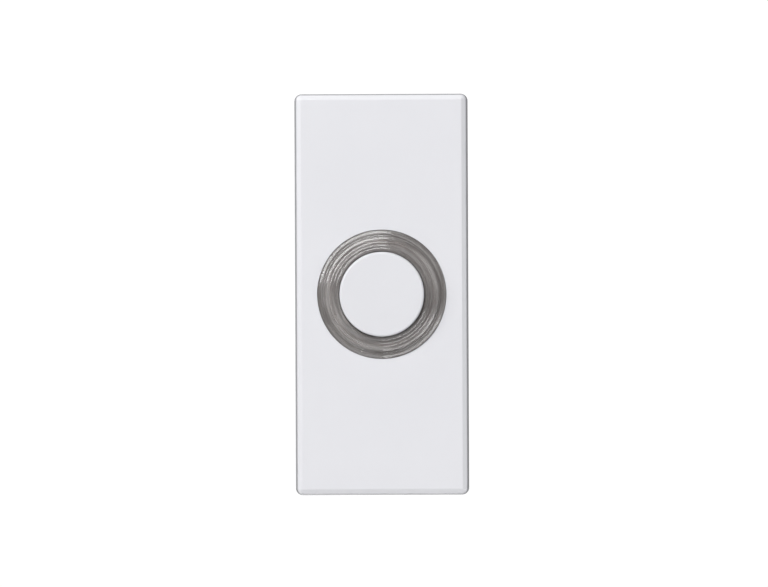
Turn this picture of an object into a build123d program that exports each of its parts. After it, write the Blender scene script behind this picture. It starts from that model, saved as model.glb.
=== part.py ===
"""Illuminated wired bell push: a slim white wall housing with a clear light ring round its push button.

Frame: +Z up the wall, +X to the right as seen from the front, and -Y out of the wall, so the wall is the plane
Y = 0 and the front faces -Y. The origin is the middle of the back face. Sizes are in millimetres, and a
"height" is a distance out of the wall, along -Y.

How it works: the cap and its plunger slide in the light ring. The plunger's post pushes a sprung bridge on
the base, which joins two brass strips. The same strips feed a small lamp that lights the ring.
"""

import os
from math import cos, radians, sin, tan

from build123d import *

# ---------------------------------------------------------------- overall sizes
body_width = 35.0
body_height = 81.0
cover_front = 14.5  # height of the flat front face above the wall
corner_radius = 1.2
front_corner_radius = 1.0  # of the cover's outline at its front
side_draft = 2.0  # degrees; the cover narrows towards its front
side_wall = 1.6
front_wall = 1.8
bevel_width = 0.95  # bevel round the front face, measured across the face
bevel_drop = 0.5  # and measured back from it
bevel_round = 0.35

# ---------------------------------------------------------------- base plate
flange_thickness = 1.2
flange_inset = 0.4  # the base stands this far inside the cover's outline
floor_top = 2.2
spigot_top = 4.5
spigot_wall = 1.4
cover_clearance = 0.2  # between the spigot and the inside of the cover
shadow_gap = 0.4  # between the base flange and the cover's rim
rim_pad_width = 1.2
rim_pad_places = (-15.1, -9.5, 5.4, 12.5)
release_slot_width = 13.0
release_slot_centre = -2.1  # along X
release_slot_height = 1.0
grip_pip_radius = 0.55
grip_pip_height = 0.13
grip_pip_spacing = 44.0

back_pocket_depth = 0.7  # pockets in the back keep the moulding even
back_pocket_rows = 5
back_rib = 1.5
back_margin = 2.4
back_spine = 9.2  # solid band up the middle
back_pocket_round = 0.8

# ---------------------------------------------------------------- wall fixing and cable entry
screw_inset = 10.35  # from the end of the body to a wall screw
screw_hole_radius = 2.1
screw_boss_radius = 3.9
screw_boss_top = 3.4
cable_radius = 3.5
cable_collar_wall = 1.1
cable_collar_top = 3.2
cable_height = 19.5  # up the wall from the button's axis

# ---------------------------------------------------------------- button and light ring
button_radius = 8.5
button_gap = 0.3  # all round, between the cap and the ring
button_travel = 1.5
cap_proud = 3.8  # the cap's top above the cover
cap_top_wall = 1.6
cap_skirt_wall = 1.3
cap_depth = 6.3
cap_round = 0.45
ring_width = 4.08  # from the ring's bore to its outer edge
ring_clearance = 0.1
ring_wall = 1.8  # the ring's outer tube
ring_lip = 0.4  # the outer tube's front above the cover
ring_step = 1.0  # the raised web above that
ring_step_inset = 1.4
ring_web = 1.9
ring_round = 0.3
ring_rim_width = 0.6  # a low rim round the lip
ring_rim_drop = 0.2
groove_count = 3  # light-spreading grooves in the rear of the web
groove_depth = 0.22
groove_share = 0.9  # of each pitch that is groove
groove_margin = 0.25  # of a pitch, left plain beside the first and last
guide_wall = 1.1  # the ring's inner tube, which guides the button
guide_length = 5.0  # of the inner tube, behind the cover's face
tube_length = 6.1  # of the outer tube, behind the cover's face
ring_flange_wall = 1.2
ring_flange_reach = 1.55
stop_clearance = 0.05

# ---------------------------------------------------------------- snap hooks
hook_span = 12.0  # degrees
ring_hook_angles = (83.0, 203.0, 323.0)
ring_slot_angles = (250.0, 270.0)
ring_slot_width = 0.5
ring_hook_barb = 1.2
cover_hook_angles = (30.0, 150.0, 270.0)
cover_hook_wall = 1.0
cover_hook_barb = 0.8
barb_height = 0.8
barb_margin = 0.9  # below the plunger's flange when the button is pressed home

# ---------------------------------------------------------------- plunger
plunger_wall = 1.0
plunger_shoulder = 1.0
plunger_flange_wall = 1.2
plunger_flange_clearance = 0.65  # inside the ring's outer tube
post_radius = 2.2
plunger_rib_wall = 0.8

# ---------------------------------------------------------------- contact strips and terminals
strip_x = 9.0
strip_width = 5.0
strip_thickness = 0.6
strip_bottom = 3.0
strip_bend = 0.7
strip_rail_width = 3.0
strip_foot = -24.6  # lower end, along Z
terminal_z = 21.5
terminal_block_width = 7.6
terminal_block_length = 8.0
terminal_block_top = 5.4
stake_radius = 0.8
stake_head_radius = 1.5
stake_head_height = 0.8
stake_places = (11.0, -14.0)
tip_radius = 1.3
tip_height = 0.45
hole_clearance = 0.1
screw_radius = 1.5
screw_head_radius = 2.75
screw_head_height = 1.9
screw_length = 5.2
slot_width = 0.8
slot_depth = 1.0
clamp_size = 6.4
clamp_thickness = 0.8
nut_size = 5.5
nut_thickness = 2.0

# ---------------------------------------------------------------- sprung bridge
bridge_length = 19.0
bridge_width = 4.0
bridge_thickness = 0.4
contact_margin = 0.05  # left between the tips when the button is pressed home
bridge_cap_radius = 3.5
bridge_cap_flange = 0.5
bridge_boss_height = 0.3
guide_pin_radius = 1.4
guide_pin_length = 3.4
guide_post_wall = 0.7
guide_post_clearance = 0.15  # under the bridge when the button is pressed home
guide_bore_floor = 1.0
catch_width = 3.2
catch_wall = 1.2
catch_barb = 0.7
catch_barb_height = 0.55
spring_wire = 0.45
spring_radius = 2.78  # to the middle of the wire
spring_turns = 3

# ---------------------------------------------------------------- lamp
lamp_height = 5.4  # of the lamp's axis above the wall
lamp_radius = 2.4
lamp_glass_wall = 0.3
lamp_tip = -11.2  # along Z
lamp_length = 8.6
wedge_width = 4.6
wedge_thickness = 2.0
wedge_length = 5.2
filament_wire = 0.16
filament_length = 2.0
lead_wire = 0.3
holder_wall = 1.5
holder_gap = 0.6  # beside the wedge, for a contact leg
holder_length = 6.4
holder_top = 7.2
holder_end_wall = 0.8
lamp_contact_thickness = 0.3
lamp_contact_width = 3.2
lamp_contact_gap = 0.05
rivet_radius = 0.7
rivet_head_radius = 1.1
rivet_head_height = 0.5

# ---------------------------------------------------------------- sizes that follow from those
rim_height = flange_thickness + shadow_gap
rim_corner_radius = front_corner_radius + (cover_front - rim_height) * tan(radians(side_draft))
ceiling = cover_front - front_wall  # the inside of the cover's front wall
cavity_width = body_width - 2 * side_wall
cavity_height = body_height - 2 * side_wall
spigot_width = cavity_width - 2 * cover_clearance
spigot_height = cavity_height - 2 * cover_clearance
screw_z = body_height / 2 - screw_inset

bore_radius = button_radius + button_gap
ring_radius = bore_radius + ring_width
guide_radius = bore_radius + guide_wall
guide_rear = cover_front - guide_length
tube_rear = cover_front - tube_length
lip_top = cover_front + ring_lip
web_top = lip_top + ring_step
cap_top = cover_front + cap_proud
cap_rear = cap_top - cap_depth
skirt_radius = button_radius - cap_skirt_wall

flange_front = guide_rear - stop_clearance  # the plunger's flange rests on the guide tube
flange_rear = flange_front - plunger_flange_wall
tube_inner = ring_radius - ring_wall
flange_radius = tube_inner - plunger_flange_clearance
barb_front = flange_rear - button_travel - barb_margin

strip_top = strip_bottom + strip_thickness
fixed_tip_top = strip_top + tip_height
moving_tip_rear = fixed_tip_top + button_travel + contact_margin
bridge_rear = moving_tip_rear + tip_height
bridge_front = bridge_rear + bridge_thickness
bridge_flange_front = bridge_front + bridge_cap_flange
bridge_boss_front = bridge_flange_front + bridge_boss_height
tip_x = strip_x - strip_width / 2 + tip_radius + 2 * hole_clearance
guide_post_top = bridge_rear - button_travel - guide_post_clearance
clamp_rear = terminal_block_top + strip_thickness
head_rear = clamp_rear + clamp_thickness
guide_post_radius = guide_pin_radius + hole_clearance + guide_post_wall

wedge_top = lamp_tip - lamp_length
holder_inner = wedge_width / 2 + holder_gap
holder_outer = holder_inner + holder_wall
wedge_end = wedge_top - wedge_length
holder_end = wedge_end - lamp_contact_gap * 2 - holder_end_wall
front_axis = Axis((0, 0, 0), (0, -1, 0))  # the button's axis, pointing out of the wall


def level(height):
    """A plane parallel to the wall, at a height above it, with X across and Z up."""
    return Plane.XZ.offset(height)


def radial_plane(angle):
    """A plane through the button's axis: local x is the radius at that angle from +X, local y the height."""
    c, s = cos(radians(angle)), sin(radians(angle))
    return Plane(origin=(0, 0, 0), x_dir=(c, 0, s), z_dir=(s, 0, -c))


def upright_plane(x):
    """A plane at right angles to X: local x runs up the wall along Z, local y is the height."""
    return Plane(origin=(x, 0, 0), x_dir=(0, 0, 1), z_dir=(1, 0, 0))


def across_plane(z):
    """A plane at right angles to Z: local x is X, local y the height."""
    return Plane(origin=(0, 0, z), x_dir=(1, 0, 0), z_dir=(0, 0, -1))


def save(part, name):
    """Labels a finished piece and writes its STEP file."""
    part.label = name
    export_step(part, f"parts/{name}.step")


os.makedirs("parts", exist_ok=True)

# ================================================================ base plate
with BuildPart() as base_plate:
    with BuildSketch(level(0)):
        RectangleRounded(
            body_width - 2 * flange_inset,
            body_height - 2 * flange_inset,
            corner_radius - flange_inset / 2,
        )
    extrude(amount=flange_thickness)
    with BuildSketch(level(0)):
        RectangleRounded(spigot_width, spigot_height, corner_radius / 2)
    extrude(amount=floor_top)
    with BuildSketch(level(floor_top)):
        RectangleRounded(spigot_width, spigot_height, corner_radius / 2)
        Rectangle(
            spigot_width - 2 * spigot_wall,
            spigot_height - 2 * spigot_wall,
            mode=Mode.SUBTRACT,
        )
    extrude(amount=spigot_top - floor_top)
    # pips on the long sides grip the cover
    for side in (-1, 1):
        with BuildSketch(
            Plane.YZ.offset(side * (spigot_width / 2 - spigot_wall / 2))
        ):
            with Locations(
                (-(floor_top + spigot_top) / 2, grip_pip_spacing / 2),
                (-(floor_top + spigot_top) / 2, -grip_pip_spacing / 2),
            ):
                Circle(grip_pip_radius)
        extrude(amount=side * (spigot_wall / 2 + grip_pip_height))
    # bosses for the wall screws, the collar round the cable entry, and the terminal blocks
    with BuildSketch(level(floor_top)):
        with Locations((0, screw_z), (0, -screw_z)):
            Circle(screw_boss_radius)
    extrude(amount=screw_boss_top - floor_top)
    with BuildSketch(level(floor_top)):
        with Locations((0, cable_height)):
            Circle(cable_radius + cable_collar_wall)
    extrude(amount=cable_collar_top - floor_top)
    with BuildSketch(level(floor_top)):
        with Locations((-strip_x, terminal_z), (strip_x, terminal_z)):
            Rectangle(terminal_block_width, terminal_block_length)
    extrude(amount=terminal_block_top - floor_top)
    # rails that carry the strips, with stakes whose heads are melted over the brass
    rail_top = terminal_z - terminal_block_length / 2
    with BuildSketch(level(floor_top)):
        for side in (-1, 1):
            with Locations((side * strip_x, (rail_top + strip_foot) / 2)):
                Rectangle(strip_rail_width, rail_top - strip_foot)
    extrude(amount=strip_bottom - floor_top)
    with BuildSketch(level(strip_bottom)):
        for place in stake_places:
            with Locations((-strip_x, place), (strip_x, place)):
                Circle(stake_radius)
    extrude(amount=strip_thickness)
    with BuildSketch(level(strip_top)):
        for place in stake_places:
            with Locations((-strip_x, place), (strip_x, place)):
                Circle(stake_head_radius)
    extrude(amount=stake_head_height, taper=28)
    # guide post for the bridge's pin, and the two catches that hold the sprung bridge
    with BuildSketch(level(floor_top)):
        Circle(guide_post_radius)
    extrude(amount=guide_post_top - floor_top)
    catch_inner = bridge_cap_radius + cover_clearance
    catch_front = bridge_flange_front + stop_clearance + catch_barb_height
    for side in (-1, 1):
        with BuildSketch(upright_plane(-catch_width / 2)):
            with BuildLine():
                Polyline(
                    (side * catch_inner, floor_top),
                    (side * (catch_inner + catch_wall), floor_top),
                    (side * (catch_inner + catch_wall), catch_front),
                    (side * catch_inner, catch_front),
                    (side * (catch_inner - catch_barb), bridge_flange_front + 0.2),
                    (side * (catch_inner - catch_barb), bridge_flange_front + stop_clearance),
                    (side * catch_inner, bridge_flange_front + stop_clearance),
                    close=True,
                )
            make_face()
        extrude(amount=catch_width)
    # pockets in the back, between a spine and ribs
    pocket_field = body_height - 2 * flange_inset - 2 * back_margin + back_rib
    pocket_pitch = pocket_field / back_pocket_rows
    pocket_width = (body_width - back_spine) / 2 - flange_inset - back_margin
    with BuildSketch(level(0)):
        with GridLocations(pocket_width + back_spine, pocket_pitch, 2, back_pocket_rows):
            RectangleRounded(pocket_width, pocket_pitch - back_rib, back_pocket_round)
    extrude(amount=back_pocket_depth, mode=Mode.SUBTRACT)
    # through holes, and the recesses for the nuts, the screws' ends and the rivets
    with BuildSketch(level(0)):
        with Locations((0, screw_z), (0, -screw_z)):
            Circle(screw_hole_radius)
        with Locations((0, cable_height)):
            Circle(cable_radius)
    extrude(amount=terminal_block_top, mode=Mode.SUBTRACT)
    with BuildSketch(level(guide_bore_floor)):
        Circle(guide_pin_radius + hole_clearance)
    extrude(amount=guide_post_top, mode=Mode.SUBTRACT)
    nut_floor = terminal_block_top - nut_thickness - 3 * hole_clearance
    screw_tip = head_rear - screw_length
    with BuildSketch(level(nut_floor)):
        with Locations((-strip_x, terminal_z), (strip_x, terminal_z)):
            Rectangle(nut_size + 2 * hole_clearance, nut_size + 2 * hole_clearance)
    extrude(amount=terminal_block_top - nut_floor, mode=Mode.SUBTRACT)
    with BuildSketch(level(screw_tip - 2 * hole_clearance)):
        with Locations((-strip_x, terminal_z), (strip_x, terminal_z)):
            Circle(screw_radius + 2 * hole_clearance)
    extrude(amount=terminal_block_top, mode=Mode.SUBTRACT)
    with BuildSketch(level(floor_top)):
        rivet_x = (holder_outer + strip_x + strip_width / 2) / 2
        rivet_z = strip_foot + lamp_contact_width / 2
        with Locations((-rivet_x, rivet_z), (rivet_x, rivet_z)):
            Circle(rivet_radius + hole_clearance)
    extrude(amount=strip_bottom - floor_top, mode=Mode.SUBTRACT)
save(base_plate.part, "base_plate")

# ================================================================ front cover
with BuildPart() as front_cover:
    with BuildSketch(level(rim_height)):
        RectangleRounded(body_width, body_height, rim_corner_radius)
    extrude(amount=cover_front - rim_height, taper=side_draft)
    front_face = front_cover.faces().sort_by(Axis.Y)[0]
    chamfer(
        front_face.edges(), length=bevel_width, length2=bevel_drop, reference=front_face
    )
    fillet(front_cover.faces().sort_by(Axis.Y)[0].edges(), radius=bevel_round)
    bevel_edges = front_cover.edges().filter_by_position(
        Axis.Y,
        -(cover_front - bevel_drop) - hole_clearance,
        -(cover_front - bevel_drop) + hole_clearance,
    )
    fillet(bevel_edges, radius=bevel_round)
    with BuildSketch(level(rim_height)):
        RectangleRounded(cavity_width, cavity_height, corner_radius / 2)
    extrude(amount=ceiling - rim_height, mode=Mode.SUBTRACT)
    with BuildSketch(level(ceiling)):
        Circle(ring_radius + ring_clearance)
    extrude(amount=front_wall, mode=Mode.SUBTRACT)
    # the slot at the foot that takes a screwdriver, and pads that set the shadow gap
    with BuildSketch(level(rim_height)):
        with Locations((release_slot_centre, -(body_height - side_wall) / 2)):
            Rectangle(release_slot_width, side_wall + 2 * hole_clearance)
    extrude(amount=release_slot_height, mode=Mode.SUBTRACT)
    pad_z = spigot_height / 2 + cover_clearance + side_wall / 2 - flange_inset / 2
    with BuildSketch(level(flange_thickness)):
        for place in rim_pad_places:
            with Locations((place, pad_z), (place, -pad_z)):
                Rectangle(rim_pad_width, side_wall - flange_inset)
    extrude(amount=shadow_gap)
    # hooks that hold the light ring's flange against the front wall
    flange_edge = ring_radius + ring_flange_reach
    hook_inner = flange_edge + cover_clearance
    hook_rear = ceiling - ring_flange_wall - stop_clearance - barb_height
    for angle in cover_hook_angles:
        with BuildSketch(radial_plane(angle - hook_span / 2)):
            with BuildLine():
                Polyline(
                    (hook_inner, ceiling),
                    (hook_inner + cover_hook_wall, ceiling),
                    (hook_inner + cover_hook_wall, hook_rear),
                    (hook_inner, hook_rear),
                    (hook_inner - cover_hook_barb, hook_rear + barb_height / 2),
                    (hook_inner - cover_hook_barb, hook_rear + barb_height),
                    (hook_inner, hook_rear + barb_height),
                    close=True,
                )
            make_face()
        revolve(axis=front_axis, revolution_arc=hook_span)
save(front_cover.part, "front_cover")

# ================================================================ light ring
with BuildPart() as light_ring:
    with BuildSketch(radial_plane(0)):
        with BuildLine():
            Polyline(
                (bore_radius, guide_rear),
                (bore_radius, web_top),
                (ring_radius - ring_step_inset, web_top),
                (ring_radius - ring_step_inset, lip_top),
                (ring_radius - ring_rim_width, lip_top),
                (ring_radius - ring_rim_width, lip_top - ring_rim_drop),
                (ring_radius, lip_top - ring_rim_drop),
                (ring_radius, ceiling),
                (flange_edge, ceiling),
                (flange_edge, ceiling - ring_flange_wall),
                (ring_radius, ceiling - ring_flange_wall),
                (ring_radius, tube_rear),
                (tube_inner, tube_rear),
                (tube_inner, web_top - ring_web),
                (guide_radius, web_top - ring_web),
                (guide_radius, guide_rear),
                close=True,
            )
        make_face()
    revolve(axis=front_axis)
    # the edges that show are rounded
    fillet(
        light_ring.edges().filter_by(GeomType.CIRCLE).group_by(Axis.Y)[0],
        radius=ring_round,
    )
    fillet(
        light_ring.edges()
        .filter_by(GeomType.CIRCLE)
        .filter_by(lambda e: abs(e.center().Y + lip_top) < stop_clearance)
        .filter_by(lambda e: e.radius > ring_radius - ring_step_inset + stop_clearance),
        radius=ring_rim_drop / 2,
    )
    fillet(
        light_ring.edges()
        .filter_by(GeomType.CIRCLE)
        .filter_by(lambda e: abs(e.center().Y + lip_top - ring_rim_drop) < stop_clearance)
        .filter_by(lambda e: abs(e.radius - ring_radius) < stop_clearance),
        radius=ring_rim_drop / 2,
    )
    groove_pitch = (tube_inner - guide_radius) / (groove_count + 2 * groove_margin)
    groove_reach = groove_pitch * groove_share / 2
    for step in range(groove_count):
        groove_middle = guide_radius + groove_pitch * (groove_margin + step + 1 / 2)
        with BuildSketch(radial_plane(0)):
            with BuildLine():
                Polyline(
                    (groove_middle - groove_reach, web_top - ring_web),
                    (groove_middle + groove_reach, web_top - ring_web),
                    (groove_middle, web_top - ring_web + groove_depth),
                    close=True,
                )
            make_face()
        revolve(axis=front_axis, mode=Mode.SUBTRACT)
    # hooks that keep the plunger captive
    for angle in ring_hook_angles:
        with BuildSketch(radial_plane(angle - hook_span / 2)):
            with BuildLine():
                Polyline(
                    (ring_radius, tube_rear),
                    (ring_radius, barb_front - barb_height),
                    (tube_inner, barb_front - barb_height),
                    (tube_inner - ring_hook_barb, barb_front - barb_height / 2),
                    (tube_inner - ring_hook_barb, barb_front),
                    (tube_inner, barb_front),
                    (tube_inner, tube_rear),
                    close=True,
                )
            make_face()
        revolve(axis=front_axis, revolution_arc=hook_span)
    # narrow slots in the rear of the outer tube
    for angle in ring_slot_angles:
        slot_plane = radial_plane(angle)
        with BuildSketch(slot_plane):
            with Locations((ring_radius - ring_wall / 2, tube_rear)):
                Rectangle(ring_wall + 2 * ring_clearance, 2 * ring_flange_reach)
        extrude(amount=ring_slot_width / 2, both=True, mode=Mode.SUBTRACT)
save(light_ring.part, "light_ring")

# ================================================================ push button
with BuildPart() as button_cap:
    with BuildSketch(radial_plane(0)):
        with BuildLine():
            Polyline(
                (0, cap_top),
                (button_radius, cap_top),
                (button_radius, cap_rear),
                (skirt_radius, cap_rear),
                (skirt_radius, cap_top - cap_top_wall),
                (0, cap_top - cap_top_wall),
                close=True,
            )
        make_face()
    revolve(axis=front_axis)
    fillet(button_cap.faces().sort_by(Axis.Y)[0].edges(), radius=cap_round)
save(button_cap.part, "button_cap")

with BuildPart() as button_plunger:
    tube_front = cap_top - cap_top_wall - stop_clearance
    shoulder_radius = skirt_radius + plunger_shoulder
    hollow_radius = skirt_radius - plunger_wall
    web_rear = tube_front - plunger_flange_wall
    post_rear = bridge_boss_front + stop_clearance
    with BuildSketch(radial_plane(0)):
        with BuildLine():
            Polyline(
                (0, tube_front),
                (skirt_radius, tube_front),
                (skirt_radius, cap_rear),
                (shoulder_radius, cap_rear),
                (shoulder_radius, flange_front),
                (flange_radius, flange_front),
                (flange_radius, flange_rear),
                (hollow_radius, flange_rear),
                (hollow_radius, web_rear),
                (post_radius, web_rear),
                (post_radius, post_rear),
                (0, post_rear),
                close=True,
            )
        make_face()
    revolve(axis=front_axis)
    # four ribs join the post to the tube
    rib_rear = catch_front + button_travel + stop_clearance * 4
    with BuildSketch(level(rib_rear)):
        with PolarLocations(0, 4, start_angle=45):
            with Locations(((post_radius + hollow_radius) / 2, 0)):
                Rectangle(hollow_radius - post_radius + 0.6, plunger_rib_wall)
    extrude(amount=web_rear - rib_rear)
save(button_plunger.part, "button_plunger")

# ================================================================ sprung bridge
with BuildPart() as bridge_follower:
    with BuildSketch(level(bridge_front)):
        Circle(bridge_cap_radius)
    extrude(amount=bridge_cap_flange)
    with BuildSketch(level(bridge_flange_front)):
        Circle(post_radius)
    extrude(amount=bridge_boss_height)
    with BuildSketch(level(bridge_front)):
        Circle(guide_pin_radius)
    extrude(amount=-guide_pin_length)
save(bridge_follower.part, "bridge_follower")

with BuildPart() as contact_bridge:
    with BuildSketch(level(bridge_rear)):
        SlotOverall(bridge_length, bridge_width)
        Circle(guide_pin_radius + hole_clearance, mode=Mode.SUBTRACT)
    extrude(amount=bridge_thickness)
save(contact_bridge.part, "contact_bridge")

with BuildPart() as moving_tips:
    with BuildSketch(level(moving_tip_rear)):
        with Locations((-tip_x, 0), (tip_x, 0)):
            Circle(tip_radius)
    extrude(amount=tip_height)
    fillet(
        moving_tips.faces().filter_by(Axis.Y).group_by(Axis.Y)[-1].edges(),
        radius=tip_height / 3,
    )
save(moving_tips.part, "moving_contact_tips")

with BuildPart() as return_spring:
    spring_room = bridge_rear - floor_top - spring_wire - 2 * stop_clearance
    with BuildLine() as coil:
        Helix(
            pitch=spring_room / spring_turns,
            height=spring_room,
            radius=spring_radius,
            center=(0, -(floor_top + spring_wire / 2 + stop_clearance), 0),
            direction=(0, -1, 0),
        )
    with BuildSketch(coil.line ^ 0):
        Circle(spring_wire / 2)
    sweep()
save(return_spring.part, "return_spring")

# ================================================================ contact strips, terminals, lamp contacts
sides = {"left": -1, "right": 1}
for name, side in sides.items():
    with BuildPart() as contact_strip:
        head_z = terminal_z + terminal_block_length / 2 - 2 * hole_clearance
        drop_z = terminal_z - terminal_block_length / 2 - strip_bend - stop_clearance
        with BuildSketch(upright_plane(side * strip_x)):
            with BuildLine():
                FilletPolyline(
                    (head_z, terminal_block_top + strip_thickness / 2),
                    (drop_z, terminal_block_top + strip_thickness / 2),
                    (drop_z, strip_bottom + strip_thickness / 2),
                    (strip_foot, strip_bottom + strip_thickness / 2),
                    radius=strip_bend,
                )
            trace(line_width=strip_thickness)
        extrude(amount=strip_width / 2, both=True)
        with BuildSketch(level(strip_bottom)):
            with Locations((side * strip_x, terminal_z)):
                Circle(screw_radius + 2 * hole_clearance)
            for place in stake_places:
                with Locations((side * strip_x, place)):
                    Circle(stake_radius + hole_clearance)
            with Locations((side * rivet_x, rivet_z)):
                Circle(rivet_radius + hole_clearance)
        extrude(amount=terminal_block_top, mode=Mode.SUBTRACT)
    save(contact_strip.part, f"contact_strip_{name}")

    with BuildPart() as clamp_plate:
        with BuildSketch(level(clamp_rear)):
            with Locations((side * strip_x, terminal_z)):
                RectangleRounded(clamp_size, clamp_size, corner_radius / 2)
                Circle(screw_radius + hole_clearance, mode=Mode.SUBTRACT)
        extrude(amount=clamp_thickness)
    save(clamp_plate.part, f"clamp_plate_{name}")

    with BuildPart() as terminal_screw:
        with BuildSketch(level(head_rear)):
            with Locations((side * strip_x, terminal_z)):
                Circle(screw_head_radius)
        extrude(amount=screw_head_height)
        fillet(
            terminal_screw.faces().sort_by(Axis.Y)[0].edges(),
            radius=screw_head_height / 2,
        )
        with BuildSketch(level(head_rear)):
            with Locations((side * strip_x, terminal_z)):
                Circle(screw_radius)
        extrude(amount=-screw_length)
        with BuildSketch(level(head_rear + screw_head_height - slot_depth)):
            with Locations((side * strip_x, terminal_z)):
                Rectangle(2 * screw_head_radius, slot_width, rotation=20 * side)
        extrude(amount=slot_depth, mode=Mode.SUBTRACT)
    save(terminal_screw.part, f"terminal_screw_{name}")

    with BuildPart() as square_nut:
        with BuildSketch(level(nut_floor + hole_clearance)):
            with Locations((side * strip_x, terminal_z)):
                Rectangle(nut_size, nut_size)
                Circle(screw_radius + stop_clearance, mode=Mode.SUBTRACT)
        extrude(amount=nut_thickness)
    save(square_nut.part, f"square_nut_{name}")

    with BuildPart() as lamp_contact:
        half = lamp_contact_thickness / 2
        inner_x = wedge_width / 2 + lamp_contact_gap + half
        outer_x = holder_outer + lamp_contact_gap + half
        top_height = holder_top + lamp_contact_gap + half
        with BuildSketch(across_plane(rivet_z)):
            with BuildLine():
                FilletPolyline(
                    (side * inner_x, lamp_height - wedge_thickness / 2),
                    (side * inner_x, top_height),
                    (side * outer_x, top_height),
                    (side * outer_x, strip_top + half),
                    (side * (rivet_x + rivet_head_radius), strip_top + half),
                    radius=lamp_contact_thickness,
                )
            trace(line_width=lamp_contact_thickness)
        extrude(amount=lamp_contact_width / 2, both=True)
        with BuildSketch(level(strip_bottom)):
            with Locations((side * rivet_x, rivet_z)):
                Circle(rivet_radius + hole_clearance)
        extrude(amount=strip_thickness * 2, mode=Mode.SUBTRACT)
    save(lamp_contact.part, f"lamp_contact_{name}")

with BuildPart() as fixed_tips:
    with BuildSketch(level(strip_top)):
        with Locations((-tip_x, 0), (tip_x, 0)):
            Circle(tip_radius)
    extrude(amount=tip_height)
    fillet(
        fixed_tips.faces().filter_by(Axis.Y).group_by(Axis.Y)[0].edges(),
        radius=tip_height / 3,
    )
save(fixed_tips.part, "fixed_contact_tips")

with BuildPart() as lamp_rivets:
    rivet_seat = strip_top + lamp_contact_thickness
    with BuildSketch(level(floor_top)):
        with Locations((-rivet_x, rivet_z), (rivet_x, rivet_z)):
            Circle(rivet_radius)
    extrude(amount=rivet_seat - floor_top)
    with BuildSketch(level(rivet_seat)):
        with Locations((-rivet_x, rivet_z), (rivet_x, rivet_z)):
            Circle(rivet_head_radius)
    extrude(amount=rivet_head_height)
    fillet(
        lamp_rivets.faces().filter_by(Axis.Y).group_by(Axis.Y)[0].edges(),
        radius=rivet_head_height / 2,
    )
save(lamp_rivets.part, "lamp_rivets")

# ================================================================ lamp and its holder
with BuildPart() as lamp_holder:
    holder_front_z = wedge_top - 2 * hole_clearance
    mid_z = (holder_front_z + holder_end) / 2
    with BuildSketch(level(floor_top)):
        with Locations((0, mid_z)):
            RectangleRounded(2 * holder_outer, holder_front_z - holder_end, stake_radius / 2)
    extrude(amount=holder_top - floor_top)
    with BuildSketch(level(strip_top)):
        with Locations((0, (holder_front_z + holder_end) / 2 + holder_end_wall)):
            Rectangle(2 * holder_inner, holder_front_z - holder_end)
    extrude(amount=holder_top, mode=Mode.SUBTRACT)
    # a ledge carries the lamp's wedge base
    ledge_front_z = wedge_top - wedge_length / 4
    with BuildSketch(level(strip_top)):
        with Locations((0, (ledge_front_z + holder_end + holder_end_wall) / 2)):
            Rectangle(wedge_width / 2, ledge_front_z - holder_end - holder_end_wall)
    extrude(amount=lamp_height - wedge_thickness / 2 - lamp_contact_gap - strip_top)
save(lamp_holder.part, "lamp_holder")

with BuildPart() as lamp_bulb:
    lamp_plane = Plane(origin=(0, -lamp_height, 0), x_dir=(1, 0, 0), z_dir=(0, -1, 0))
    lamp_axis = Axis((0, -lamp_height, 0), (0, 0, 1))
    glass_inner = lamp_radius - lamp_glass_wall
    dome_z = lamp_tip - lamp_radius
    with BuildSketch(lamp_plane):
        with BuildLine():
            Line((0, wedge_top), (lamp_radius, wedge_top))
            Line((lamp_radius, wedge_top), (lamp_radius, dome_z))
            RadiusArc((lamp_radius, dome_z), (0, lamp_tip), -lamp_radius)
            Line((0, lamp_tip), (0, wedge_top))
        make_face()
    revolve(axis=lamp_axis)
    fillet(lamp_bulb.faces().sort_by(Axis.Z)[0].edges(), radius=lamp_radius / 3)
    with BuildSketch(lamp_plane.offset(-wedge_thickness / 2)):
        with Locations((0, (wedge_top + lamp_radius / 3 + wedge_end) / 2)):
            Rectangle(wedge_width, wedge_top + lamp_radius / 3 - wedge_end)
    extrude(amount=wedge_thickness)
    cavity_floor = wedge_top + lamp_radius / 2
    with BuildSketch(lamp_plane):
        with BuildLine():
            Line((0, cavity_floor), (glass_inner, cavity_floor))
            Line((glass_inner, cavity_floor), (glass_inner, dome_z))
            RadiusArc((glass_inner, dome_z), (0, dome_z + glass_inner), -glass_inner)
            Line((0, dome_z + glass_inner), (0, cavity_floor))
        make_face()
    revolve(axis=lamp_axis, mode=Mode.SUBTRACT)
save(lamp_bulb.part, "lamp_bulb")

with BuildPart() as lamp_filament:
    filament_z = (dome_z + cavity_floor) / 2 + lamp_radius / 4
    lead_x = filament_length / 2 + lead_wire / 2
    with BuildSketch(Plane.XY.offset(cavity_floor)):
        with Locations((-lead_x, -lamp_height), (lead_x, -lamp_height)):
            Circle(lead_wire / 2)
    extrude(amount=filament_z - cavity_floor)
    with BuildSketch(Plane.YZ.offset(-lead_x)):
        with Locations((-lamp_height, filament_z)):
            Circle(filament_wire)
    extrude(amount=2 * lead_x)
save(lamp_filament.part, "lamp_filament")
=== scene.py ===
"""Studio scene of a lit bell push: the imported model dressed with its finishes, plus the small wound and
threaded pieces, on a pale floor under soft light.

Everything is in metres in the part's own frame: +Z up the wall, +X to the right seen from the front, -Y out of
the wall, with the origin in the middle of the back face.
"""

import logging
import math
from dataclasses import dataclass, field
from enum import Enum
from typing import Sequence

import bmesh
import bpy
from mathutils import Matrix, Vector


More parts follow.
